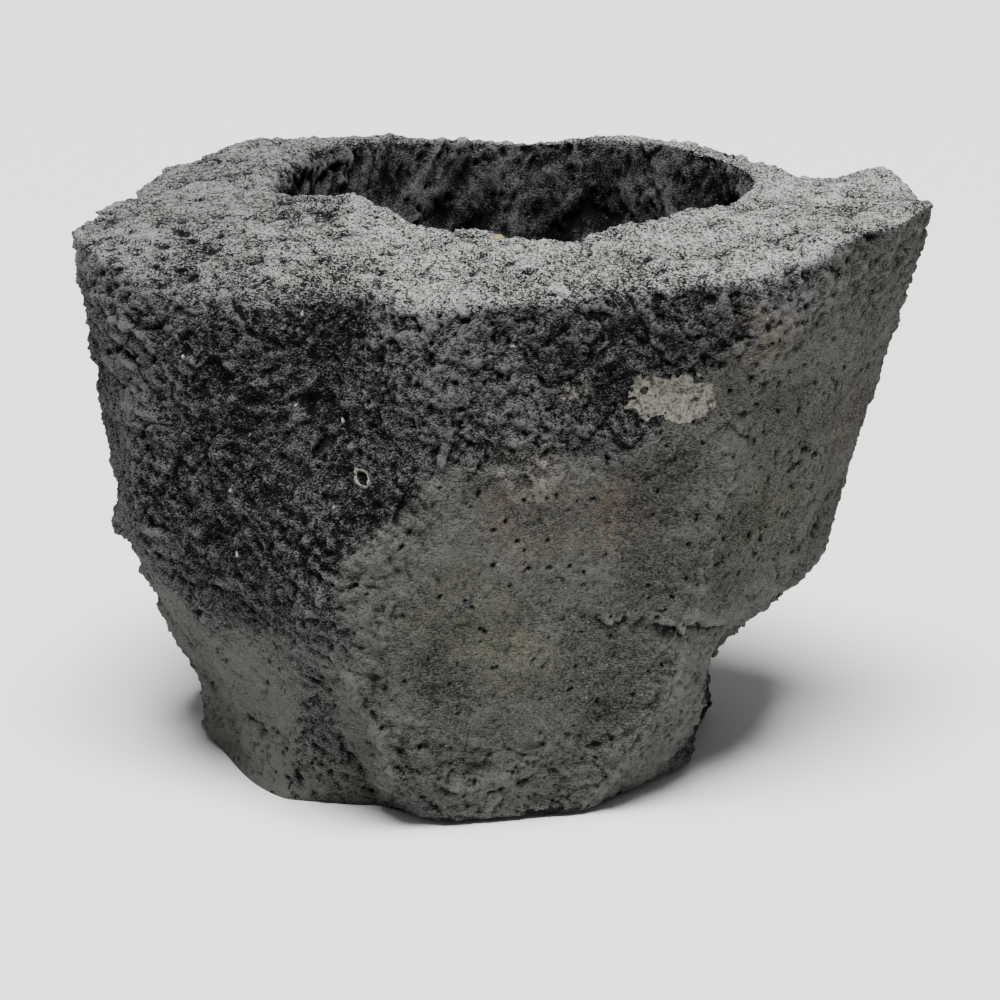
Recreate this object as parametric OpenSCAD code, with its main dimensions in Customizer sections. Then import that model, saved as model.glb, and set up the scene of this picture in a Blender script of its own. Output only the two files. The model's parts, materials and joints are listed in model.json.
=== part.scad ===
// Molcajete: a kitchen mortar hewn from a single block of dark volcanic stone.
// Units are millimetres. +Z is up, -Y is the front, and the origin is on the
// ground under the middle of the block's outline.
//
// The block is cut the way a mason cuts it: flat faces are split off a rough
// piece, shallow shell-shaped hollows are struck out of them, the top is dressed
// and the basin is ground in last. A bearing is a direction seen from above, in
// degrees: 0 is the front, 90 the right, 180 the back and -90 the left. A lean is
// how far a face looks up (+) or down (-) from the horizontal.

/* [Block] */
// Height of the dressed rim above the ground
rim_height = 206; // [196:1:214]
// Height above the ground where every face's reach is measured
gauge_height = 100; // [100:1:100]
// Height of the foot before it runs into the body
foot_height = 75; // [60:1:85]
// Height where the body's own faces start, under its belly
belly_height = 20; // [10:1:30]
// Height of the prow, the thick corner under the front face
prow_height = 135; // [120:1:150]

/* [Basin] */
// Radius of the basin at its mouth
mouth_radius = 88; // [82:1:92]
// Depth of the basin below the rim
basin_depth = 122; // [100:1:130]
// Distance of the basin's middle to the right of the hewing axis
basin_x = 5; // [0:1:10]
// Distance of the basin's middle behind the hewing axis
basin_y = 26; // [20:1:30]

/* [Grains in the stone] */
// Depth of the pale lump of older rock in the right front
clast_depth = 9; // [5:0.5:14]
// Depth of the gas bubble in the left hollow
bubble_depth = 3; // [2:0.5:4]
// Thickness of the green lining round that bubble
lining_wall = 1.2; // [0.8:0.1:1.5]
// Side of the largest feldspar crystal
crystal_side = 3.6; // [2.5:0.1:4.5]

/* [Hidden] */

round_fn = 96;       // facets round a large circle
waste = 500;         // side of the stone that a cut takes away
rough_top = 12;      // rough stone above the rim before it is dressed
over_rim = 30;       // how far the basin's cutter starts above the rim
proud = 12;          // how far a grain's cutter stands out of the stone

// The hewing axis, seen from the middle of the block's outline
axis_x = -0.6;
axis_y = -8.8;

// Every face is [bearing, lean, reach from the hewing axis at gauge_height].
front_face = [ 12,  -8, 100.5];
right_front_face = [ 48, -13, 113];
right_face = [ 68, -15, 119];
lower_right_face = [ 75, -37, 140];
prow_right_face = [ 50, -29, 131];

body_faces = [
    front_face,
    right_front_face,
    right_face,
    lower_right_face,
    [   5,   2, 109],    // brow under the rim
    [ 100, -14, 130],    // right side
    [  98,  -3, 149.5],  // right shoulder
    [ 137, -10, 106],    // right back
    [ 175, -10, 110],    // back
    [-150, -12, 118],    // left back
    [-106,  -6, 138.5],  // left side
    [ -74,  -8, 137.5],  // left edge
    [ -35,  -6, 121],    // left front
    [ -36, -25, 122],    // under the left front
    [ -68, -28, 142],    // under the left edge
    [  72, -48, 147],    // under the right side
    [ 170, -40, 150],    // under the back
];

foot_faces = [
    front_face,
    prow_right_face,
    [ -14, -16, 101.5],  // floor of the valley beside the prow
    [ -56,  -5, 103],    // left front
    [ -95,  -6, 119],    // left
    [-140,  -3, 105],    // left back
    [ 170,  -3, 100],    // back
    [ 120,  -3,  90],    // right back
    [  80,  -3,  83],    // right
    [  58,  -3,  84],    // right front
];

prow_faces = [
    front_face,
    right_front_face,
    right_face,
    lower_right_face,
    prow_right_face,
    [ -39,  19, 127.5],  // ledge under the left hollow
    [ -75, -21,  94.3],  // wall of the valley
    [ -50, -38, 151],    // toe
    [ 180,   0,   0],    // buried in the body
];

// Dressed faces of the top: [bearing, lean, height above the rim at the mouth's edge]
top_faces = [
    [  -8, 76, -1],
    [ -80, 82,  3],
    [  90, 88,  4],
    [ 180, 80,  2],
];

// Struck hollows: [x, y, z, radius] of the ball that each is part of
hollows = [
    [   8, -158, 176, 56],  // under the rim
    [  64, -150, 172, 52],  // under the rim, on the right
    [ 100, -128, 200, 30],  // chipped corner
    [ 142,   97, 208, 52],  // notch in the right back corner
];

// The long hollow of the left front narrows upwards between two balls
left_hollow_top = [-66, -116, 200, 30];
left_hollow_foot = [-70, -150, 156, 60];

// The pale lump shows in the front face: its outline, from the middle of it
clast_place = [57.3, -98.8, 157.5];
clast_outline = [
    [-13.6, 2.6], [-12, -4.4], [-6.4, -9], [1.6, -10.2], [7.6, -7.6],
    [12.2, -2.2], [14.2, 4.6], [10.6, 9.4], [1.4, 9.8], [-5.6, 6.2],
];

// The gas bubble: a slanting eye. Its face is [bearing, lean]
bubble_place = [-46.6, -101.3, 130.9];
bubble_face = [-28, 22];
bubble_outline = [
    [-4.6, 3.4], [-1.2, 3.5], [2.4, 1.8], [4.4, -1],
    [4.5, -3.5], [1.3, -3.1], [-2.2, -1.5], [-4.4, 0.8],
];

// Crystals in the left hollow and in the brow: [x, y, z, turn, share of crystal_side]
crystals = [
    [ -92.6,  -85.1, 121.7,  20, 1],
    [ -54.4,  -92.4, 148.9,  50, 0.7],
    [ -70.8,  -89.5, 154.8,  75, 0.6],
    [ -40.7,  -97.0, 167.9,  10, 0.7],
    [-109.8,  -79.1, 168.4,  35, 0.6],
    [ -55.9, -103.6, 120.7,  60, 0.7],
    [ -67.3,  -86.7, 184.9,  15, 0.6],
    [ -91.3,  -83.0,  98.3,  40, 0.6],
    [   4.7, -101.6, 177.4,  25, 0.7],
];

// Waste beyond one face of the block
module cleave(face)
    rotate([0, 0, face[0]])
        translate([0, -face[2], gauge_height])
            rotate([-face[1], 0, 0])
                translate([-waste / 2, -waste, -waste / 2])
                    cube(waste);

// Waste above one dressed face of the top
module dress(face)
    translate([basin_x, basin_y, rim_height + face[2]])
        rotate([0, 0, face[0]])
            translate([0, -mouth_radius, 0])
                rotate([90 - face[1], 0, 0])
                    translate([-waste / 2, -waste / 2, 0])
                        cube(waste);

// Stone between two heights, cut to a set of faces
module cut_stone(low, high, faces)
    difference() {
        translate([-waste / 2, -waste / 2, low])
            cube([waste, waste, high - low]);
        for (face = faces) cleave(face);
    }

module ball(b, fn)
    translate([b[0], b[1], b[2]])
        sphere(b[3], $fn = fn);

// The basin widens quickly from its floor and is steep near the mouth
module basin()
    translate([basin_x, basin_y, rim_height])
        rotate_extrude($fn = round_fn)
            polygon([
                [0, over_rim],
                [mouth_radius + 6, over_rim],
                [mouth_radius, 0],
                [mouth_radius - 5, -basin_depth * 0.25],
                [mouth_radius - 18, -basin_depth * 0.57],
                [mouth_radius - 45, -basin_depth * 0.88],
                [mouth_radius - 70, -basin_depth * 0.98],
                [0, -basin_depth],
            ]);

// The whole block, before any grain is told apart from it
module hewn_block()
    difference() {
        union() {
            cut_stone(belly_height, rim_height + rough_top, body_faces);
            cut_stone(0, foot_height, foot_faces);
            cut_stone(0, prow_height, prow_faces);
        }
        for (face = top_faces) dress(face);
        for (b = hollows) ball(b, round_fn);
        hull() {
            ball(left_hollow_top, 32);
            ball(left_hollow_foot, 32);
        }
        basin();
    }

// A prism that goes depth into the stone and a little out of it
module plug(place, face, depth)
    translate(place)
        rotate([0, 0, face[0]])
            rotate([90 - face[1], 0, 0])
                translate([0, 0, -depth])
                    linear_extrude(depth + proud)
                        children();

module clast_plug()
    plug(clast_place, front_face, clast_depth)
        polygon(clast_outline);

module bubble_plug()
    plug(bubble_place, bubble_face, bubble_depth)
        polygon(bubble_outline);

module bubble_hole()
    plug(bubble_place, bubble_face, 2 * bubble_depth)
        offset(delta = -lining_wall)
            polygon(bubble_outline);

module crystal_blocks()
    for (c = crystals)
        translate([c[0], c[1], c[2]])
            rotate([c[3], c[3] / 2, c[3]])
                cube([crystal_side * 0.6, crystal_side, crystal_side] * c[4], center = true);

module set_down()
    translate([axis_x, axis_y, 0])
        children();

module stone_body()
    color("dimgray")
        set_down()
            difference() {
                hewn_block();
                clast_plug();
                bubble_plug();
                crystal_blocks();
            }

module pale_clast()
    color("tan")
        set_down()
            intersection() {
                hewn_block();
                clast_plug();
            }

module bubble_lining()
    color("darkseagreen")
        set_down()
            difference() {
                intersection() {
                    hewn_block();
                    bubble_plug();
                }
                bubble_hole();
            }

module feldspar_crystals()
    color("ghostwhite")
        set_down()
            intersection() {
                hewn_block();
                union() crystal_blocks();
            }

stone_body();
pale_clast();
bubble_lining();
feldspar_crystals();
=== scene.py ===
# %% [markdown]
# # A molcajete hewn from one block of basalt
# This lesson builds the looks of a stone kitchen mortar round its CAD solid. The mortar is one rough
# block, so nearly all of the work is surface: where the mason's faces meet, how the broken stone catches
# the light, where gas bubbles left pores, and how old, weathered skin differs from stone that was freshly
# broken.

# %% Load the frame
import itertools
import json

import bpy
import numpy as np
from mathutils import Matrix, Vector
from mathutils.bvhtree import BVHTree


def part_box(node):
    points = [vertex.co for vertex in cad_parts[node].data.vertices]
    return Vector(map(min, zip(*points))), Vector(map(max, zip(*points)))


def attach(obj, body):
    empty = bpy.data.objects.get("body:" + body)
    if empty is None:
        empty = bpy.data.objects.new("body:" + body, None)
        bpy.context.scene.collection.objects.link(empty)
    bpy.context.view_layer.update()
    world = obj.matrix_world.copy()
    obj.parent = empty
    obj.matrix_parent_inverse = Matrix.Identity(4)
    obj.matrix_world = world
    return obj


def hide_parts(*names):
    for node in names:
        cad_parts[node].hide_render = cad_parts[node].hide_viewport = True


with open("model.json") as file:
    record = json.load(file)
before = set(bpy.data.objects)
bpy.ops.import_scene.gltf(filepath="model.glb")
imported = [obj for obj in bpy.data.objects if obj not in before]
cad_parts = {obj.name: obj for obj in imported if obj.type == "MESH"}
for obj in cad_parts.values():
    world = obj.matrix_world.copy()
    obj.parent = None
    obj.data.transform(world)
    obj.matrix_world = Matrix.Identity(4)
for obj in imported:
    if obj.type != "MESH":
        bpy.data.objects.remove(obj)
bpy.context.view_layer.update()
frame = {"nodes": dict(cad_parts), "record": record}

MM = 0.001

# %% [markdown]
# ## Reading the block as outlines
# The solid has flat faces and sharp edges, which no broken stone has. To soften and roughen it, the
# surface is needed as a regular grid. A mortar is a ring-shaped thing: a half-plane that turns about the
# basin's axis cuts it in one open outline, which runs from under the foot, up the outside, over the rim
# and down into the basin. So the grid's two parameters are the bearing of that half-plane and the way
# along the outline.

# %% Triangles of a CAD node
def triangles(node):
    """Every triangle of a CAD node in millimetres: an array of triangle, corner, xyz."""
    mesh = frame["nodes"][node].data
    mesh.calc_loop_triangles()
    places = np.empty(3 * len(mesh.vertices))
    corners = np.empty(3 * len(mesh.loop_triangles), dtype=int)
    mesh.vertices.foreach_get("co", places)
    mesh.loop_triangles.foreach_get("vertices", corners)
    return places.reshape(-1, 3)[corners.reshape(-1, 3)] / MM


def box_mm(node):
    """A node's lowest and highest corners, in millimetres."""
    return [np.array(corner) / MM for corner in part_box(node)]


basin_box = np.array(frame["record"]["physics"]["openings"][0]["box_m"]) / MM
axis = basin_box.mean(axis=0)[:2]
stone = triangles("stone_body")
print("triangles in the block:", len(stone), "basin's axis at", axis.round(1))

# %% [markdown]
# The grains of other rock sit in pockets of the block. Their pockets would show as dents in the outline,
# so the triangles that line a pocket are left out, and the outline then runs straight across it.

# %% Leave the pockets out
def lines_a_pocket(tri, node, reach=0.06):
    """True for each triangle whose middle lies within reach of the node's surface: a wall between them."""
    other = triangles(node)
    faces_of = np.arange(3 * len(other)).reshape(-1, 3)
    tree = BVHTree.FromPolygons(other.reshape(-1, 3).tolist(), faces_of.tolist())
    return np.array([tree.find_nearest(middle, reach)[0] is not None for middle in tri.mean(axis=1).tolist()])


def in_box(tri, node, margin=0.5):
    """True for each triangle whose middle lies in the node's box, grown by margin."""
    low, high = box_mm(node)
    middle = tri.mean(axis=1)
    return ((middle > low - margin) & (middle < high + margin)).all(axis=1)


pocket = in_box(stone, "pale_clast") | in_box(stone, "bubble_lining")
pocket |= lines_a_pocket(stone, "feldspar_crystals")
skin = stone[~pocket]
print("triangles left out:", int(pocket.sum()))

# %% [markdown]
# A flat cut meets each triangle in at most one short piece of line. For every bearing all the triangles
# are cut at once, as arrays. The pieces are then joined end to end, from the middle of the underside to
# the basin's floor, by always going on with the piece that starts nearest.

# %% Cut the block at one bearing
NEAR_AXIS = 0.05    # millimetres from the axis at which an outline is at its end
ABOVE_FOOT = 20     # and the height that tells the basin's floor from the underside


def heading(bearing):
    """Unit vector seen from above: 0 degrees is the front, 90 the right."""
    turn = np.radians(bearing)
    return np.array([np.sin(turn), -np.cos(turn)])


def cut(tri, bearing):
    """The half-plane's cuts through the triangles, as pieces of line in (distance from the axis, height)."""
    ahead = heading(bearing)
    aside = np.array([-ahead[1], ahead[0]])
    flat = tri[..., :2] - axis
    side, out, up = flat @ aside, flat @ ahead, tri[..., 2]
    above = side > 0
    crossed = above.any(axis=1) & ~above.all(axis=1)
    side, out, up, above = side[crossed], out[crossed], up[crossed], above[crossed]
    rows = np.arange(len(side))
    lone = np.where(above.sum(axis=1) == 1, above.argmax(axis=1), (~above).argmax(axis=1))
    ends = []
    for step in (1, 2):
        other = (lone + step) % 3
        share = side[rows, lone] / (side[rows, lone] - side[rows, other])
        ends.append(np.stack([value[rows, lone] + share * (value[rows, other] - value[rows, lone])
                              for value in (out, up)], axis=-1))
    lines = np.stack(ends, axis=1)
    lines = lines[lines[..., 0].max(axis=1) > 0.01]
    # a piece that crosses the axis ends on it
    near = lines[..., 0].argmin(axis=1)
    pick = np.arange(len(lines))
    low, high = lines[pick, near], lines[pick, 1 - near]
    short = low[:, 0] < 0
    share = np.where(short, high[:, 0] / np.maximum(high[:, 0] - low[:, 0], 1e-9), 1)
    lines[pick, near] = high + share[:, None] * (low - high)
    return lines


def outline(tri, bearing):
    """The cuts joined end to end: from the middle of the underside to the middle of the basin's floor."""
    lines = cut(tri, bearing)
    here, path = np.zeros(2), [np.zeros(2)]
    waiting = np.ones(len(lines), dtype=bool)
    while waiting.any():
        gap = np.linalg.norm(lines - here, axis=2)
        gap[~waiting] = np.inf
        line, end = np.unravel_index(gap.argmin(), gap.shape)
        waiting[line] = False
        here = lines[line, 1 - end]
        path += [lines[line, end], here]
        if here[0] < NEAR_AXIS and here[1] > ABOVE_FOOT:
            break
    return np.array(path)


sample = outline(skin, 0.25)
print("the front outline has", len(sample), "points and ends at", sample[-1].round(2))

# %% [markdown]
# Rows of the grid have to follow the stone's own lines, or the rim would be cut at a slant. Each outline
# therefore gets the same number of rows between four landmarks: where it leaves the ground, the rim's
# outer edge, the mouth of the basin and the basin's floor. Each landmark is the point that lies furthest
# in some direction.

# %% Lay the rows between landmarks
rows = [26, 300, 72, 106]
turn_step = 0.5
bearings = np.arange(0, 360, turn_step) + 0.013


def lay_rows(path):
    """Points at equal steps along each stretch of the outline, with shared landmarks."""
    out, up = path.T
    foot, rim, mouth = (value.argmax() for value in (0.5 * out - up, out + up, up - out))
    marks = [0, foot, rim, mouth, len(path) - 1]
    steps = np.linalg.norm(np.diff(path, axis=0), axis=1)
    way = np.concatenate([[0], np.cumsum(steps)])
    stops = [np.linspace(way[a], way[b], n, endpoint=False) for a, b, n in zip(marks, marks[1:], rows)]
    stops = np.concatenate(stops + [way[-1:]])
    return np.stack([np.interp(stops, way, out), np.interp(stops, way, up)], axis=-1)


profile = np.stack([lay_rows(outline(skin, bearing)) for bearing in bearings])
ground_row, rim_row, mouth_row = np.cumsum(rows)[:3]
rim_heights = profile[:, mouth_row, 1]
print("grid:", profile.shape, "rim heights", rim_heights.min().round(1), rim_heights.max().round(1))

# %% [markdown]
# ## Softening the edges
# Split basalt has worn, crumbled edges, and hollows that run into each other. A blur along both
# directions of the grid rounds them. The struck hollows under the rim are blurred more than the rest,
# because their borders can hardly be seen on such stone.

# %% Blur the grid
def blur(values, across, along):
    """Gaussian average over neighbours: across wraps round the mortar, along stops at the two poles."""
    def kernel(width):
        reach = int(np.ceil(3 * width))
        weights = np.exp(-0.5 * (np.arange(-reach, reach + 1) / width) ** 2)
        return reach, weights / weights.sum()
    reach, weights = kernel(across)
    ring = np.concatenate([values[-reach:], values, values[:reach]])
    values = sum(w * ring[i:i + len(values)] for i, w in enumerate(weights))
    reach, weights = kernel(along)
    pad = np.concatenate([np.repeat(values[:, :1], reach, axis=1), values,
                          np.repeat(values[:, -1:], reach, axis=1)], axis=1)
    return sum(w * pad[:, i:i + values.shape[1]] for i, w in enumerate(weights))


def to_space(grid, turns):
    """(distance, height) at each bearing as xyz, in millimetres."""
    ahead = heading(turns)
    return np.concatenate([axis + grid[..., :1] * ahead.T[:, None, :], grid[..., 1:]], axis=-1)


def ball(places, centre, radius, edge):
    """1 inside a ball and 0 outside it, with a soft edge."""
    away = np.linalg.norm(places - np.array(centre), axis=-1)
    return np.clip((radius - away) / edge + 0.5, 0, 1)


step_scale = 1
WORN_EDGE = 18  # how softly a worn place ends, mm
WORN = [  # places where the mason's edges can hardly be seen, with radii
    ((20, -120, 165), 62), ((-66, -118, 120), 55), ((-58, -68, 50), 32),
    ((-104, -88, 192), 44), ((-66, -100, 202), 40), ((-20, -112, 198), 26), ((100, -100, 205), 24),
]
CRISP, SOFT = (2.4, 3), (9, 14)  # widths of the blur, in columns and rows of the full grid
crisp, soft = (blur(profile, across * step_scale, along * step_scale) for across, along in (CRISP, SOFT))
places = to_space(crisp, bearings)
worn = np.clip(sum(ball(places, centre, radius, WORN_EDGE) for centre, radius in WORN), 0, 1)[..., None]
softened = crisp + worn * (soft - crisp)
print("most that an edge moved, mm:", np.abs(softened - profile).max().round(1))

# %% [markdown]
# ## One grid, six pieces
# A single mesh of the whole stone would either be coarse or too heavy, so it is made as six wedges that
# meet inside the stone. The four in front are narrow, so their columns lie closer. All the columns are
# laid here once.

# %% Lay the columns
WEDGES = {  # name: (first bearing, last bearing)
    "stone_front_left": (-76, -28),
    "stone_front": (-28, 18),
    "stone_front_right": (18, 64),
    "stone_right": (64, 112),
    "stone_back_right": (112, 198),
    "stone_back_left": (198, 284),
}
COLUMNS = 196  # with all the rows, this keeps a wedge just under 200,000 triangles
column_scale = 1
columns_each = COLUMNS // column_scale
turns = np.concatenate([np.linspace(*span, columns_each, endpoint=False) for span in WEDGES.values()])
turns %= 360
spot = (turns - bearings[0]) % 360 / turn_step
left = np.floor(spot).astype(int) % len(bearings)
share = (spot - np.floor(spot))[:, None, None]
smooth = to_space(softened[left] * (1 - share) + softened[(left + 1) % len(bearings)] * share, turns)
print("columns:", len(turns), "rows:", smooth.shape[1], "points:", smooth.shape[0] * smooth.shape[1])

# %% [markdown]
# Flat faces and a turned bowl are still too regular. On the real stone the mouth isn't a true circle, the
# rim isn't level, its corners are knocked off and the undercut above the foot is deep. Each nudge pushes
# the surface at one place and fades like a bell curve with distance, as a sculptor's thumb would do in
# clay.

# %% Nudge the stone out of true
NUDGES = [  # place, reach and push, in millimetres
    ((-60, -48, 208), 28, (10, 12, 5)),
    ((-8, -78, 205), 30, (0, 7, 3)),
    ((109, -88, 205), 16, (0, 0, 2)),
    ((-68, -100, 150), 34, (1, 6, 0)),
    ((-27, -119, 165), 17, (-1, -4, 0)),
    ((52, -112, 172), 24, (-1, 5, 0)),
    ((10, -116, 196), 22, (0, -3, 0)),
    ((-54, -98, 46), 22, (4, 5, 0)),
    ((-141, -8, 82), 9, (-5, 0, 0)),
    ((-146, -8, 110), 12, (2, 0, 0)),
    ((88, -46, 50), 17, (-13, 4, 2)),
    ((92, -58, 48), 14, (-10, 3, 2)),
    ((90, -20, 38), 32, (-12, 0, 0)),
    ((104, -32, 74), 14, (3, 0, 0)),
    ((-141, -8, 70), 10, (4, 0, 0)),
    ((-82, -50, 4), 30, (-3, -9, -6)),
    ((-50, -68, 4), 22, (0, -5, -5)),
    ((-138, 45, 202), 9, (0, 0, -4.6)),
    ((119, 40, 209), 12, (0, 0, -4.6)),
    ((141, 26, 208), 8, (0, 0, 2.6)),
    ((154, 4, 207), 9, (0, 0, -4)),
    ((112, -34, 84), 8, (3, -1, -3)),
    ((103, -38, 71), 9, (-5, 1, 1)),
    ((-104, -94, 204), 30, (4, 6, -9)),
    ((-62, -106, 204), 24, (0, 3, -5)),
]
for place, reach, push in NUDGES:
    away = np.linalg.norm(smooth - np.array(place), axis=-1)
    smooth += np.exp(-(away / reach) ** 2)[..., None] * np.array(push)
print("the rim now rises to", smooth[..., 2].max().round(1))

# %% [markdown]
# The next steps need to know which way each place faces, and whether it stands out or lies in a hollow.
# The second comes from comparing the grid with a strongly blurred copy of itself.

# %% Which way the surface faces
def normals(grid):
    """Unit vectors out of the stone, from the steps to each point's neighbours."""
    across = np.roll(grid, -1, axis=0) - np.roll(grid, 1, axis=0)
    along = np.gradient(grid, axis=1)
    out = np.cross(across, along)
    out[:, 0], out[:, -1] = (0, 0, -1), (0, 0, 1)
    return out / np.maximum(np.linalg.norm(out, axis=-1, keepdims=True), 1e-12)


facing = normals(smooth)
PROUD = 4  # millimetres above the average round it that count as an edge
form = ((smooth - blur(smooth, 20 * step_scale, 30 * step_scale)) * facing).sum(axis=-1)
form = np.clip(form / PROUD, -1, 1)
print("edges stand out by 1 and hollows by -1:", np.quantile(form, (0.05, 0.5, 0.95)).round(2))
print("the front wall faces", facing[0, ground_row + rows[1] // 2].round(2))

# %% [markdown]
# ## Noise that fills space
# Stone is rough in three dimensions, so its noise is a function of place and not of the grid. Two kinds
# are enough. The first blends random numbers set at the corners of cubes. The second scatters one point
# in each cube and measures how far the nearest is, which gives bowls with ridges between them, as a pick
# leaves.

# %% Random numbers for lattice points
def scramble(x, y, z, seed):
    """A number from 0 to 1 for each whole-number point: multiply, fold high bits onto low ones, repeat."""
    h = x * np.uint32(0x8DA6B343) ^ y * np.uint32(0xD8163841) ^ z * np.uint32(0xCB1AB31F)
    h ^= np.uint32(seed * 0x9E3779B9 & 0xFFFFFFFF)
    h = (h ^ h >> np.uint32(15)) * np.uint32(0x2C1B3C6D)
    h = (h ^ h >> np.uint32(12)) * np.uint32(0x297A2D39)
    return (h ^ h >> np.uint32(15)).astype(np.float32) / np.float32(2 ** 32)


def lattice(p, size):
    """The cube that each place is in, as three whole-number arrays, and the place within it, from 0 to 1."""
    q = np.asarray(p, dtype=np.float32) / np.float32(size)
    low = np.floor(q)
    return [low[..., i].astype(np.int64).astype(np.uint32) for i in range(3)], q - low


def noise(p, size, seed):
    """Random numbers at the corners of cubes, blended by a curve that is flat at both ends. From -1 to 1."""
    (x, y, z), u = lattice(p, size)
    u = u * u * u * (u * (u * 6 - 15) + 10)
    total = 0
    for i, j, k in itertools.product((0, 1), repeat=3):
        weight = ((u[..., 0] if i else 1 - u[..., 0]) * (u[..., 1] if j else 1 - u[..., 1])
                  * (u[..., 2] if k else 1 - u[..., 2]))
        total = total + weight * scramble(x + np.uint32(i), y + np.uint32(j), z + np.uint32(k), seed)
    return 2 * total - 1


# a rotation, so that the layers' cubes don't line up
TILT = np.array([[0.36, 0.48, -0.8], [-0.8, 0.6, 0], [0.48, 0.64, 0.6]])


def layers(p, size, seed, count, gain=0.5):
    """Sum of count noises. Each is half as large as the last, gain times as strong, and turned against it."""
    total, strength = 0, 1
    for i in range(count):
        total = total + strength * noise(p, size / 2 ** i, seed + i)
        p, strength = p @ TILT.T, strength * gain
    return total


def cells(p, size, seed):
    """Scatters one point in each cube. Gives the distance to the nearest in cube sides, the nearest's own
    number from 0 to 1, and the arrow from it to the place."""
    (x, y, z), u = lattice(p, size)
    first = np.full(u.shape[:-1], 9, dtype=np.float32)
    own, arrow = np.zeros_like(first), np.zeros_like(u)
    for i, j, k in itertools.product((-1, 0, 1), repeat=3):
        a, b, c = (value + np.uint32(step & 0xFFFFFFFF) for value, step in ((x, i), (y, j), (z, k)))
        across = np.stack([u[..., n] - step - scramble(a, b, c, seed + n)
                           for n, step in enumerate((i, j, k))], axis=-1)
        away = np.sqrt((across ** 2).sum(axis=-1))
        closer = away < first
        own = np.where(closer, scramble(a, b, c, seed + 3), own)
        arrow = np.where(closer[..., None], across, arrow)
        first = np.minimum(first, away)
    return first, own, arrow


def facets(p, size, seed, step=0.3):
    """Splits space into cells and gives each its own tilted plane, as a fracture does. In units of size."""
    _, own, arrow = cells(p, size, seed)
    turn, lean = own * 2 * np.pi, 2 * (own * 7.31 % 1) - 1
    flat = np.sqrt(1 - lean ** 2)
    slope = np.stack([flat * np.cos(turn), flat * np.sin(turn), lean], axis=-1)
    return 0.55 * (arrow * slope).sum(axis=-1) + step * (own * 13.7 % 1 - 0.5)


trial = noise(smooth[::9, ::9], 20, 1)
print("noise spans", trial.min().round(2), "to", trial.max().round(2))

# %% [markdown]
# ## Roughening the stone
# Several things shape the skin, from large to small: slow swells, planes of fracture, bowls and grooves
# that the pick left, crumbling of a few millimetres, single grains, and pores where gas was trapped.
# Their strengths differ from place to place, so the zones are worked out first: the dressed top, the
# basin, and the old split faces that weather has worn finer. A zone is a number from 0 to 1 at each
# point, with a border that noise makes ragged.

# %% Zones of the surface
def ramp(value, low, high):
    """0 below low, 1 above high, and a smooth step between."""
    t = np.clip((value - low) / (high - low), 0, 1)
    return t * t * (3 - 2 * t)


def faces(bearing, lean, low=0.87):
    """1 where the surface faces a bearing and a lean, fading to 0 where the angle's cosine is low."""
    ahead, up = heading(bearing), np.sin(np.radians(lean))
    aim = np.array([*(ahead * np.cos(np.radians(lean))), up])
    return ramp(facing @ aim, low, 0.97)


row_number = np.broadcast_to(np.arange(smooth.shape[1]), smooth.shape[:2])
basin_zone = ramp(row_number, mouth_row - 2, mouth_row + 8 / column_scale)
ragged = layers(smooth, 26, 40, 4, 0.6)
x, y, height = (smooth[..., i] for i in range(3))
top_zone = ramp(facing[..., 2] + 0.1 * ragged, 0.3, 0.85) * (1 - basin_zone) * ramp(height, 176, 198)
# each old face is found by its bearing and lean, and ends at a ragged line at some height
skin_limit = 137 + 1.2 * np.maximum(x - 45, 0)
front_zone = faces(12, -8, 0.8) * ramp(skin_limit + 7 * ragged - height, -12, 12)
right_zone = np.maximum(faces(52, -13), faces(72, -15)) * (1 - top_zone)
right_zone *= ramp(height + 7 * ragged, 24, 50)
foot_zone = np.maximum(faces(-56, -5, 0.75), 0.7 * faces(48, -30, 0.8))
foot_zone *= ramp(66 + 7 * ragged - height, -12, 12)
back_zone = np.maximum(faces(150, -8), faces(232, -8)) * ramp(150 + 14 * ragged - height, -12, 12)
old_skin = np.clip(front_zone + right_zone + foot_zone + back_zone, 0, 1) * (1 - basin_zone)
old_skin *= 1 - ball(smooth, (101, -100, 196), 13, 8)
print("share of old skin:", float(old_skin.mean().round(2)))

# %% [markdown]
# Fresh breaks and proud edges are rude, which means rough here, while weather and work have levelled the
# rest. Every shape below is its height times a strength that grows with rudeness. Space is bent first by
# a slow noise, so that planes and bowls get crooked borders. The pick struck at a slant, so its bowls and
# grooves are drawn out along it.

# %% Swells, fractures, bowls and crumbs
SWELL, SPLIT, BOWL, GROOVE, CHIP, CRUMB = 48, 13, 13, 8, 4.4, 3  # how wide each shape is, mm


def stretched(p, along, ratio):
    """Squeezes space ratio times along one direction, so that noise read there is drawn out along it."""
    along = np.array(along) / np.linalg.norm(along)
    return p - (1 - 1 / ratio) * (p @ along)[..., None] * along


# how rough the stone is: fresh breaks more than the top and the basin, and proud edges most of all
fresh = 1 - old_skin
rude = fresh * (1 - 0.45 * top_zone) * (1 - 0.35 * basin_zone)
rude = np.clip(rude + 0.8 * ramp(form, 0.15, 0.8) * (1 - 0.6 * top_zone), 0, 1.2)
warped = smooth + 4 * np.stack([noise(smooth, 15, 60 + i) for i in range(3)], axis=-1)
swell = 2.2 * layers(smooth, SWELL, 3, 3, 0.6)
split = SPLIT * facets(warped, SPLIT, 10, 0.2) * (0.06 + 0.13 * rude)
chip = CHIP * facets(warped, CHIP, 20) * (0.13 + 0.22 * rude) * (1 - 0.3 * top_zone)
rows_of_picks = stretched(warped, (0.8, 0, 0.6), 3)
picked = ((cells(rows_of_picks, BOWL, 24)[0] ** 2 - 0.35)
          * (1.3 * rude + 1.3 * basin_zone * ramp(x, -90, -40)))
ridges = 1 - 2 * np.abs(noise(stretched(warped, (0.74, 0, 0.67), 4), GROOVE, 28))
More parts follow.
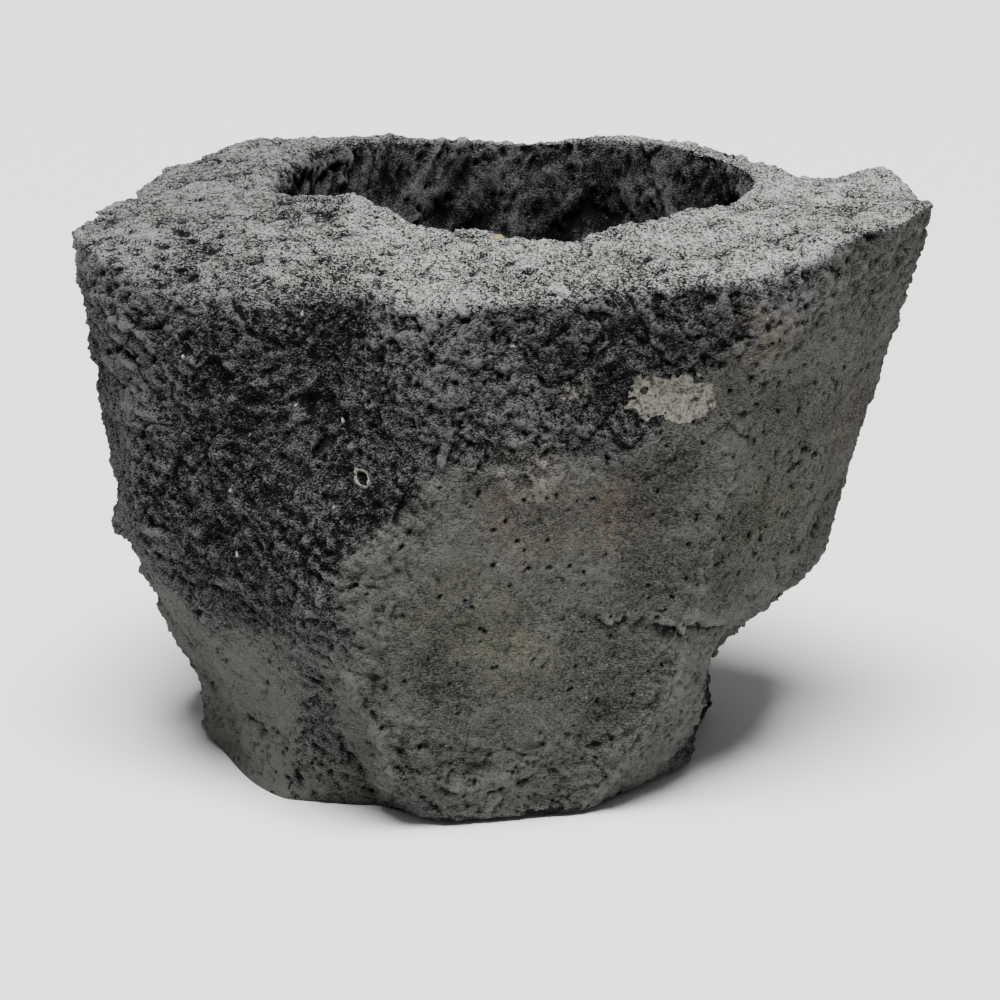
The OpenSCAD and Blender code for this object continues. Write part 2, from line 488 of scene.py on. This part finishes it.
grooves = ridges * (0.8 * basin_zone * ramp(x, -75, -25) + 0.5 * rude)
crumb = layers(stretched(smooth, (0.85, -0.2, -0.5), 1.8), CRUMB, 30, 2, 0.7) * (0.28 + 0.46 * rude)
print("fractures, mm:", split.min().round(2), split.max().round(2))

# %% [markdown]
# Then come the finest shapes: grains that lie side by side, grit on them, and gas pores cut into them. A
# ledge low on the right is where a crack ran along an old bed of the lava: the stone stands proud above
# it and steps back below. All heights are added up and the skin moves that far outward, except where the
# stone rests on the ground.

# %% Grains, pits, the ledge and the bubble
GRAIN, GRIT, PIT = 1.7, 0.9, 2.6  # how wide each is, mm
strands = stretched(smooth, (1, 0.2, 0.1), 2.5) * old_skin[..., None] + smooth * fresh[..., None]
grain = (0.55 - cells(strands, GRAIN, 36)[0]) * (0.34 + 0.4 * rude)
grit = noise(smooth, GRIT, 35) * (0.1 + 0.16 * rude)
pit_share = 0.12 * noise(smooth, 30, 52) + 0.1 * right_zone - 0.1 * front_zone
pits = 1.2 * ramp(layers(smooth, PIT, 50, 2, 0.6) + pit_share, 0.68, 1.1)
crack = 3 * layers(smooth, 9, 72, 4, 0.75)
ledge_line = height - 80 + 0.24 * (x - 30) - crack
ledge_span = ramp(x, 24, 44) * ramp(96 - x, 0, 26) * (y < -40) * ramp(ragged, -1.4, -0.3)
ledge = (1.2 * np.exp(-np.clip(ledge_line, 0, None) / 14) * ramp(ledge_line, -0.6, 0.6)
         - 2.6 * np.exp(np.clip(ledge_line, None, 0) / 7) * ramp(-ledge_line, -0.6, 0.6)) * ledge_span
bubble = -1.3 * ball(smooth, np.mean(box_mm("bubble_lining"), axis=0), 2.6, 1.2)
lift = swell + split + chip + picked + grooves + crumb + grain + grit - pits + ledge + bubble
off_ground = ramp(height, 0.3, 5)
rough = smooth + facing * (lift * off_ground)[..., None]
rough[..., 2] = np.maximum(rough[..., 2], 0)
rough_facing = normals(rough)
print("lift, mm:", lift.min().round(2), lift.max().round(2))

# %% [markdown]
# Dust and crushed stone, and painted light, lighten what stands proud, and dirt and painted shade darken
# what lies deep. So each point is compared with the average round it, once over a millimetre or two and
# once over a centimetre. Painted shade is also laid in the struck hollows and under the rim, and painted
# light on the right side and the foot.
# Stains are soft balls that noise breaks up. All of it is stored on the points under plain labels, for
# the material to read.

# %% Crests, hollows and stains
crest = lift - blur(lift, 3, 3)
clump = blur(lift, 1, 1) - blur(lift, 14 * step_scale, 14 * step_scale)


def stain(spots, seed):
    """1 in the spots, each a place and a radius, with ragged borders and broken up by noise."""
    edge = layers(smooth, 6, seed, 4, 0.8)
    whole = sum(ball(smooth, place, radius * 0.9, radius) for place, radius in spots)
    return np.clip(whole * (0.6 + 1.1 * edge), 0, 1)


tan = stain([((0, -114, 123), 7), ((14, -111, 117), 15), ((37, -106, 116), 12), ((76, -40, 210), 9),
             ((86, -104, 181), 10), ((125, -38, 132), 13), ((130, -20, 170), 9)], 80)
lichen = stain([((-13, -111, 84), 16), ((6, -108, 66), 13), ((95, -85, 110), 15)], 84)
shaken = smooth + 1.2 * noise(smooth, 1.6, 96)[..., None]
straw = ball(shaken, (-1.6, -70.5, 205.5), 2.3, 1)
chalk = stain([((9, -114, 136), 10), ((18, -102, 61), 2.5), ((24, -110, 160), 6)], 88)
# the top is paler to the front and right, the struck hollows and a band under the rim are darker with painted
# shade, and dirt darkens old skin
pale_top = top_zone * (0.5 + 0.5 * ramp(x - 0.5 * y, -90, 10))
# painted shade: darkens the struck hollow on the left and the band under the rim on the right
shaded = ball(smooth, (-66, -102, 140), 56, 40) + 0.6 * ball(smooth, (46, -112, 182), 36, 24)
dirty = stain([((60, -101, 125), 15), ((-20, -108, 60), 12), ((100, -80, 150), 9), ((30, -100, 40), 14)], 92)
# wear and painted light: proud edges are lighter and hollows darker as painted light and shade; the right
# side and the foot are painted lighter, as if lit from the right and not shadowed by the overhang; the front
# is lighter; painted shade darkens the struck hollows; dirt darkens old skin; two patches are lighter
wear_and_painted_light = (0.35 * form + 0.8 * right_zone + 2.4 * foot_zone + 0.7 * front_zone - 0.6 * shaded * fresh
        - 0.7 * dirty * old_skin + 0.6 * ball(smooth, (-20, -119, 160), 24, 24)
        + 0.6 * ball(smooth, (-130, -60, 150), 26, 24))
MARKS = {"old": old_skin, "top": pale_top, "bowl": basin_zone, "crest": crest, "clump": clump, "wear_and_painted_light": wear_and_painted_light,
         "tan": tan, "straw": straw, "lichen": lichen, "chalk": chalk}
for label in ("crest", "clump"):
    print(label, "mm:", np.quantile(MARKS[label], (0.05, 0.95)).round(2))

# %% [markdown]
# ## Wedges of stone
# Each wedge is closed: its outer skin is a part of the grid, and each of its two sides, inside the stone,
# is one face with as many corners as the outline has points. Neighbours share the outline, so no gap can
# open between them, and they share its normals too, so that no seam shows.

# %% Build the wedges
def new_piece(name, points, polygons, out=None):
    """A mesh object from points in millimetres and arrays of faces, one array for each corner count."""
    mesh = bpy.data.meshes.new(name)
    mesh.vertices.add(len(points))
    mesh.vertices.foreach_set("co", (points * MM).ravel())
    corners = np.concatenate([group.ravel() for group in polygons])
    sizes = np.concatenate([np.full(len(group), group.shape[1]) for group in polygons])
    mesh.loops.add(len(corners))
    mesh.loops.foreach_set("vertex_index", corners)
    mesh.polygons.add(len(sizes))
    mesh.polygons.foreach_set("loop_start", np.cumsum(sizes) - sizes)
    mesh.update(calc_edges=True)
    mesh.shade_smooth()
    if out is not None:
        mesh.normals_split_custom_set_from_vertices(out.tolist())
    piece = bpy.data.objects.new(name, mesh)
    bpy.context.scene.collection.objects.link(piece)
    return piece


def make_wedge(name, first, grid, out):
    """Skin from one column to the wedge's last, and a side of one face at each end."""
    columns = (first + np.arange(columns_each + 1)) % len(grid)
    part = grid[columns]
    part[:, 0], part[:, -1] = part[0, 0], part[0, -1]
    index = np.arange(part[..., 0].size).reshape(part.shape[:2])
    # each pole is one point
    index[:, 0], index[:, -1] = index[0, 0], index[0, -1]
    a, b, c, d = index[:-1, :-1], index[1:, :-1], index[1:, 1:], index[:-1, 1:]
    skin_quads = np.stack([a, b, c, d], axis=-1)[:, 1:-1].reshape(-1, 4)
    poles = np.concatenate([np.stack([a, c, d], axis=-1)[:, 0], np.stack([a, b, c], axis=-1)[:, -1]])
    sides = np.stack([index[0], index[-1, ::-1]])
    used = np.unique(index)
    number = np.zeros(index.size, dtype=int)
    number[used] = np.arange(len(used))
    polygons = [number[group] for group in (skin_quads, poles, sides)]
    piece = new_piece(name, part.reshape(-1, 3)[used], polygons, out[columns].reshape(-1, 3)[used])
    return piece, columns, used


wedges = []
for order, name in enumerate(WEDGES):
    piece, columns, used = make_wedge(name, order * columns_each, rough, rough_facing)
    for label, strength in MARKS.items():
        values = strength[columns].reshape(-1)[used].astype(np.float32)
        attribute = piece.data.attributes.new(label, "FLOAT", "POINT")
        attribute.data.foreach_set("value", values)
    wedges.append(piece)
    print(name, "faces:", len(piece.data.polygons))

# %% [markdown]
# ## Grains of other rock
# A lump of older, paler rock, the green crust of one gas bubble and a few crystals of feldspar show in
# the skin. Each is a slab that follows the rough skin round its place: it stands a little proud inside
# its own outline and dips under the basalt outside it, so the line between the two rocks is as broken as
# the skin is.

# %% A slab in the skin
def window(place, reach, finer):
    """The stone's grid within reach of a place, with finer times as many points, and its normals."""
    away = np.linalg.norm(rough - place, axis=-1)
    column, row = np.unravel_index(away.argmin(), away.shape)
    wide = np.linalg.norm(rough[(column + 1) % len(rough), row] - rough[column - 1, row]) / 2
    tall = np.linalg.norm(smooth[column, row + 4] - smooth[column, row - 4]) / 8
    spots = []
    for centre, step in ((column, wide), (row, tall)):
        count = int(2 * reach / step) * finer + 1
        spots.append(centre + np.linspace(-reach / step, reach / step, count))
    (low_u, part_u), (low_v, part_v) = ((np.floor(s).astype(int), s - np.floor(s)) for s in spots)
    part_u, part_v = part_u[:, None, None], part_v[None, :, None]
    found = []
    for grid in (rough, rough_facing):
        corner = [grid[np.ix_((low_u + i) % len(grid), low_v + j)] for i in (0, 1) for j in (0, 1)]
        found.append((corner[0] * (1 - part_v) + corner[1] * part_v) * (1 - part_u)
                     + (corner[2] * (1 - part_v) + corner[3] * part_v) * part_u)
    return found[0], found[1], rough[column, row], facing[column, row]


def slab(place, reach, inside, rise, thick, finer=2):
    """Points and faces of a closed slab. inside(across, up, points) says how far in the outline a point lies.

    The top is raised by that depth, but no more than rise, and outside it dips by up to 1.3 mm."""
    top, out, middle, ahead = window(place, reach, finer)
    across = np.cross((0, 0, 1), ahead)
    across /= np.linalg.norm(across)
    up = np.cross(ahead, across)
    depth = inside((top - middle) @ across, (top - middle) @ up, top)
    top = top + out * np.clip(depth, -1.3, rise)[..., None]
    under = top - ahead * thick
    index = np.arange(top[..., 0].size).reshape(top.shape[:2])
    upper = np.stack([index[:-1, :-1], index[1:, :-1], index[1:, 1:], index[:-1, 1:]], axis=-1)
    upper = upper.reshape(-1, 4)
    loop = np.concatenate([index[:-1, 0], index[-1, :-1], index[:0:-1, -1], index[0, :0:-1]])
    after = np.roll(loop, -1)
    wall = np.stack([after, loop, loop + index.size, after + index.size], axis=-1)
    return (np.concatenate([top.reshape(-1, 3), under.reshape(-1, 3)]),
            np.concatenate([upper, upper[:, ::-1] + index.size, wall]))


def leaned(across, up, turn):
    """The same two distances, measured along axes turned by an angle."""
    return across * np.cos(turn) + up * np.sin(turn), up * np.cos(turn) - across * np.sin(turn)


def slabs_piece(name, slabs):
    """One object from several closed slabs."""
    points = np.concatenate([p for p, _ in slabs])
    starts = np.cumsum([0] + [len(p) for p, _ in slabs[:-1]])
    return new_piece(name, points, [np.concatenate([f + s for (_, f), s in zip(slabs, starts)])])


# %% [markdown]
# Lava tears pieces off older rock on its way up. This lump is one of them: paler, finer and pitted, with
# an edge that broke together with the basalt. Its outline is an oval plus noise, minus pits.

# %% The pale lump
clast_low, clast_high = box_mm("pale_clast")
clast_place = (clast_low + clast_high) / 2


def in_clast(across, up, points):
    """An oval, torn by noise of a few millimetres, with pits where the darker stone shows."""
    half_wide, half_tall = 13.5, 9.5
    oval = 1 - np.sqrt((across / half_wide) ** 2 + (up / half_tall) ** 2)
    torn = 2 * layers(points, 11, 93, 5, 0.65)
    pit = ramp(layers(points, 3.2, 94, 2, 0.7), 0.42, 0.8)
    return 8 * oval + 1.3 * torn - 4 * pit


clast = slabs_piece("pale_lump", [slab(clast_place, 20, in_clast, 0.1, 3)])
print("pale lump faces:", len(clast.data.polygons))

# %% [markdown]
# Hot water once lined this gas bubble with a green mineral. The break went through the bubble, so its
# lining shows as a thin ring, a little pointed because the flowing lava had stretched it.

# %% The bubble's crust
def in_ring(across, up, points):
    """A thin slanting ring, a little pointed at two ends."""
    a, b = leaned(across, up, np.radians(-38))
    ring = (np.abs(a / 3.9) ** 1.5 + np.abs(b / 2.4) ** 1.5) ** (1 / 1.5)
    return 0.45 + 0.45 * noise(points, 1.8, 101) - 3 * np.abs(ring - 1)


ring_place = np.mean(box_mm("bubble_lining"), axis=0)
lining = slabs_piece("green_crust", [slab(ring_place, 6, in_ring, 0.35, 2, finer=4)])
print("green crust faces:", len(lining.data.polygons))

# %% [markdown]
# Feldspar had already grown in the lava before it cooled, in flat slanted plates a millimetre or two
# across. The CAD holds all of them in one node, so their places are found again as clusters of its
# triangles.

# %% Feldspar crystals
def groups(tri, reach=6):
    """Middles of the clusters of triangles that lie within reach of each other."""
    waiting, middles = tri.mean(axis=1), []
    while len(waiting):
        mine = np.linalg.norm(waiting - waiting[0], axis=1) < reach
        middles.append(waiting[mine].mean(axis=0))
        waiting = waiting[~mine]
    return middles


def in_crystal(turn, wide, tall):
    """A slanted four-sided plate of the given half sizes."""
    def inside(across, up, points):
        a, b = leaned(across, up, turn)
        depth = np.minimum(wide - np.abs(a + 0.35 * b), tall - np.abs(b))
        return 1.5 * depth + 0.35 * noise(points, 0.8, 105)
    return inside


seeds = np.random.default_rng(7)
crystals = []
for place in groups(triangles("feldspar_crystals")):
    turn, wide, tall = seeds.uniform(0, 3.1), seeds.uniform(0.5, 0.9), seeds.uniform(0.3, 0.5)
    crystals.append(slab(place, 3, in_crystal(turn, wide, tall), 0.3, 2, finer=4))
feldspar = slabs_piece("feldspar", crystals)
print("crystals:", len(crystals), "faces:", len(feldspar.data.polygons))

# %% [markdown]
# ## Basalt
# Fresh basalt is nearly black, with white flecks of feldspar. Where hands and weather have worked on it,
# it turns grey and a little green, and the pecked top is pale with crushed stone. Such a material is a
# long sum of small effects, so it pays to write it as sums. Wires of the node tree are given + - * of
# their own for that.

# %% A short way to write shader maths
class Wire:
    """A socket of a node tree. Sums of wires and numbers add Math nodes, and make() adds any other node."""

    def __init__(self, tree, socket=None):
        self.tree, self.socket = tree, socket

    def make(self, kind, settings=None, sockets=None, out=0):
        """Adds a node, makes its settings, then fills its sockets with values or wires. Gives its output."""
        node = self.tree.nodes.new(kind)
        for key, value in (settings or {}).items():
            setattr(node, key, value)
        for key, value in (sockets or {}).items():
            if isinstance(value, Wire):
                self.tree.links.new(value.socket, node.inputs[key])
            else:
                node.inputs[key].default_value = value
        return Wire(self.tree, node.outputs[out])

    def maths(self, operation, *values, clamp=False):
        """One Math node."""
        settings = {"operation": operation, "use_clamp": clamp}
        return self.make("ShaderNodeMath", settings, dict(enumerate(values)))

    def __add__(self, other):
        return self.maths("ADD", self, other)

    __radd__ = __add__

    def __sub__(self, other):
        return self.maths("SUBTRACT", self, other)

    def __rsub__(self, other):
        return self.maths("SUBTRACT", other, self)

    def __mul__(self, other):
        return self.maths("MULTIPLY", self, other)

    __rmul__ = __mul__

    def clamped(self):
        """Held between 0 and 1."""
        return self.maths("ADD", self, 0, clamp=True)

    def between(self, low, high):
        """0 at low, 1 at high, and a smooth step between."""
        return self.make("ShaderNodeMapRange", {"interpolation_type": "SMOOTHSTEP"},
                         {"Value": self, "From Min": low, "From Max": high})

    def blend(self, first, second):
        """From first to second colour as this wire goes from 0 to 1."""
        return self.make("ShaderNodeMix", {"data_type": "RGBA"}, {"Factor": self, 6: first, 7: second}, 2)

    def mix(self, first, second):
        """The same for two plain values."""
        return self.make("ShaderNodeMix", {"data_type": "FLOAT"}, {"Factor": self, 2: first, 3: second})


def colour(red, green, blue):
    """An opaque colour, each part from 0 to 1 in linear light."""
    return (red, green, blue, 1)


def finish(name, roughness):
    """A new material: its shader node, an empty wire to start from, and the object's own coordinates."""
    material = bpy.data.materials.new(name)
    material.use_nodes = True
    shader = material.node_tree.nodes["Principled BSDF"]
    shader.inputs["Roughness"].default_value = roughness
    start = Wire(material.node_tree)
    return material, shader, start, start.make("ShaderNodeTexCoord", out="Object")


def speckle(wire, places, scale, detail=4, rough=0.6):
    """Noise from 0 to 1; scale counts its lumps in a metre."""
    return wire.make("ShaderNodeTexNoise", {"noise_dimensions": "3D"},
                     {"Vector": places, "Scale": scale, "Detail": detail, "Roughness": rough}, "Fac")


# %% [markdown]
# First comes one number, the tone: how light a speck of stone is. Broken basalt is a felt of needles too
# small to model, so its noise is drawn out, rising in some patches and falling in others, and level on
# the weathered skin. Powder, crumbs and slow clouds are added, and then the marks: crests are lighter,
# partly from dust and partly as painted light, and the wear mark makes worn places lighter and also
# paints light on the right side and the foot and shade in the struck hollows.

# %% The stone's tone
STRAND, LEVEL, POWDER, CRUMBS, CLOUD, PATCH = 1000, 800, 2800, 420, 34, 110  # lumps of each in a metre
basalt, shader, wire, places = finish("basalt", 0.95)
shader.inputs["Specular IOR Level"].default_value = 0.08


def mark(label):
    """One of the numbers stored on the stone's points."""
    return wire.make("ShaderNodeAttribute", {"attribute_name": label}, out="Fac")


def turned(angles, squeeze):
    """The object's coordinates, turned and then squeezed, so that a pattern is drawn out one way."""
    return wire.make("ShaderNodeMapping", {"vector_type": "POINT"},
                     {"Vector": places, "Rotation": angles, "Scale": squeeze})


old, top, bowl, crest_mark, clump_mark = (mark(label) for label in ("old", "top", "bowl", "crest", "clump"))
level = speckle(wire, turned((0, 0.1, 0.2), (1, 1, 2.4)), LEVEL, 3, 0.7)
rising = speckle(wire, turned((0.3, 0.9, 0), (1, 1, 2)), STRAND, 3, 0.75)
falling = speckle(wire, turned((0.2, -0.8, 0.5), (1, 1, 2)), STRAND, 3, 0.75)
patchy = speckle(wire, places, PATCH, 2).between(0.42, 0.58)
strand = patchy.mix(rising, falling)
strand = (old * 0.7).mix(strand, level)
crumbs = speckle(wire, places, CRUMBS, 2)
powder = speckle(wire, places, POWDER, 1)
cloud = speckle(wire, places, CLOUD, 3, 0.6)
fine = strand * 0.67 + powder * 0.27 + crumbs * 0.06
# crests and clumps lighter, small hollows darker: partly dust and dirt, partly painted light and shade
tone = fine + crest_mark * (0.05 - top * 0.02) + clump_mark * 0.01 + (cloud - 0.5) * 0.17
# wear and painted light: lighter where worn, painted light on the right side and the foot, painted shade in
# the struck hollows
tone = tone + mark("wear_and_painted_light") * 0.045
tone = (bowl * 0.35).mix(tone, clump_mark * 0.03 + 0.485)
print("nodes so far:", len(basalt.node_tree.nodes))

# %% [markdown]
# The tone becomes a colour in three ways, for fresh, weathered and crushed stone, and the zones mix the
# three. Stains are laid over it: tan where iron rusted, green-grey where lichen grew, chalky where a tool
# skidded, and one straw-coloured fleck. Pits are filled with dark dirt and painted shade. Last, a cell
# pattern picks one cell in ten for a white lath of feldspar, whose middle is kept and whose edge is
# crumbled by the powder.

# %% Colours of the stone
LATHS = 420         # cells in a metre
NEEDLES = 0.004     # how high, in metres, the bump makes the tone's lightest specks stand
fresh_stone = tone.between(0.457, 0.61).blend(colour(0.002, 0.002, 0.0024), colour(0.165, 0.165, 0.163))
old_stone = tone.between(0.41, 0.64).blend(colour(0.012, 0.0117, 0.0101), colour(0.145, 0.142, 0.127))
pale_stone = tone.between(0.46, 0.605).blend(colour(0.011, 0.011, 0.0107), colour(0.74, 0.73, 0.7))
body = old.blend(fresh_stone, old_stone)
body = (top * (0.8 + cloud * 0.3)).clamped().blend(body, pale_stone)
body = (mark("tan") * tone.between(0.3, 0.7) * 0.45).blend(body, colour(0.2, 0.155, 0.11))
body = mark("straw").blend(body, colour(0.6, 0.45, 0.17))
body = (mark("lichen") * tone.between(0.3, 0.7) * 0.4).blend(body, colour(0.15, 0.16, 0.09))
body = (mark("chalk") * tone.between(0.4, 0.6) * 0.95).blend(body, colour(0.34, 0.32, 0.28))
# pits: dark dirt and painted shade in the deepest small hollows
pit = crest_mark.between(-0.2, -1)
body = (pit * 0.85).blend(body, colour(0.008, 0.008, 0.009))
lath_sockets = {"Vector": turned((0.7, 0.5, 0.2), (1, 1, 2.2)), "Scale": LATHS}
lath_distance, lath_colour = (wire.make("ShaderNodeTexVoronoi", {"feature": "F1"}, lath_sockets, out)
                              for out in ("Distance", "Color"))
lath_own = wire.make("ShaderNodeSeparateColor", None, {0: lath_colour})
lath = lath_own.between(0.9, 0.99) * (lath_distance + powder * 0.5).between(0.46, 0.34)
body = (lath * (0.5 + top * 0.5)).blend(body, colour(0.6, 0.595, 0.57))
wire.tree.links.new(body.socket, shader.inputs["Base Color"])
bump = wire.make("ShaderNodeBump", None, {"Height": fine, "Strength": 1.0, "Distance": NEEDLES})
wire.tree.links.new(bump.socket, shader.inputs["Normal"])
print("basalt nodes:", len(basalt.node_tree.nodes))

# %% [markdown]
# The three inclusions share one recipe: two colours mixed by fine noise, a bump from the same noise, and
# dirt. What differs is the grain, and the shine: feldspar and the green crust are glassier than rock. In
# the same cell every piece gets its material and is attached to the body it rides on, and the CAD node
# it stands for is hidden.

# %% The other minerals
def mineral(name, roughness, dark, light, scale, depth, dirt):
    """A grainy mineral: two colours mixed by fine noise, which also gives the bump, and specks of dirt."""
    material, shader, wire, places = finish(name, roughness)
    grains = speckle(wire, places, scale, 4, 0.7)
    shade = grains.between(0.36, 0.6).blend(dark, light)
    specks = speckle(wire, places, scale * 0.4, 3, 0.8).between(0.52, 0.66)
    shade = (specks * dirt).blend(shade, colour(0.01, 0.01, 0.009))
    wire.tree.links.new(shade.socket, shader.inputs["Base Color"])
    relief = wire.make("ShaderNodeBump", None, {"Height": grains, "Strength": 0.8, "Distance": depth})
    wire.tree.links.new(relief.socket, shader.inputs["Normal"])
    return material


FINISHES = {  # CAD node: (piece, material slot, material)
    "pale_clast": (clast, "pale_rock", mineral(
        "pale_rock", 0.9, colour(0.075, 0.072, 0.058), colour(0.215, 0.208, 0.172), 1000, 0.0016, 0.85)),
    "bubble_lining": (lining, "green_mineral", mineral(
        "green_mineral", 0.55, colour(0.07, 0.082, 0.052), colour(0.22, 0.235, 0.17), 1400, 0.0008, 0.5)),
    "feldspar_crystals": (feldspar, "feldspar", mineral(
        "feldspar", 0.4, colour(0.12, 0.118, 0.11), colour(0.36, 0.355, 0.34), 1200, 0.0006, 0.6)),
}
for node, (piece, slot_name, material) in FINISHES.items():
    piece.data.materials.append(material)
    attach(piece, "root")
    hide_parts(node)
for piece in wedges:
    piece.data.materials.append(basalt)
    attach(piece, "root")
    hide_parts("stone_body")
print("pieces with a finish:", len(FINISHES) + len(wedges))

# %% [markdown]
# ## Studio
# A stone this dark needs much light and a plain ground. The floor is white paper, eight metres wide so
# that no edge shows.

# %% Floor
bpy.ops.mesh.primitive_plane_add(size=8)
floor = bpy.context.object
floor.name = "floor"
paper = bpy.data.materials.new("paper")
paper.use_nodes = True
paper.node_tree.nodes["Principled BSDF"].inputs["Base Color"].default_value = (0.95, 0.95, 0.95, 1)
floor.data.materials.append(paper)
print("floor, m:", tuple(floor.dimensions[:2]))

# %% [markdown]
# One wide soft light hangs overhead, a little in front. It grazes the walls, so their relief shows, and
# makes the top the lightest part. A sun with a broad disc does this evenly for the stone and the whole
# floor. A weak white world fills the shadows.

# %% Light
OVERHEAD, DISC, STRENGTH, FILL = (-0.02, -0.48, 1.6), 30, 8.6, 0.2  # where from, degrees wide, how strong


def aim(thing, place, target):
    """Puts a light or camera at a place and turns it towards the target."""
    thing.location = place
    thing.rotation_euler = (Vector(target) - Vector(place)).to_track_quat("-Z", "Y").to_euler()
    bpy.context.scene.collection.objects.link(thing)
    return thing


light = bpy.data.lights.new("overhead", "SUN")
light.angle, light.energy = np.radians(DISC), STRENGTH
aim(bpy.data.objects.new("overhead", light), OVERHEAD, (0, 0, 0))
world = bpy.data.worlds.new("studio")
bpy.context.scene.world = world
world.use_nodes = True
world.node_tree.nodes["Background"].inputs["Color"].default_value = (1, 1, 1, 1)
world.node_tree.nodes["Background"].inputs["Strength"].default_value = FILL
print("light:", light.energy, "fill:", FILL)

# %% [markdown]
# The camera stands over a metre away with a long lens, which keeps the mortar's upright lines nearly
# parallel, and high enough to look a little way into the basin.

# %% Camera
STANDS, LOOKS_AT = (-0.0006, -1.1508, 0.429), (-0.0006, -0.0508, 0.106)
eye = bpy.data.cameras.new("camera")
eye.lens, eye.sensor_width = 115, 36
bpy.context.scene.camera = aim(bpy.data.objects.new("camera", eye), STANDS, LOOKS_AT)
print("camera's distance, m:", round((Vector(STANDS) - Vector(LOOKS_AT)).length, 3))
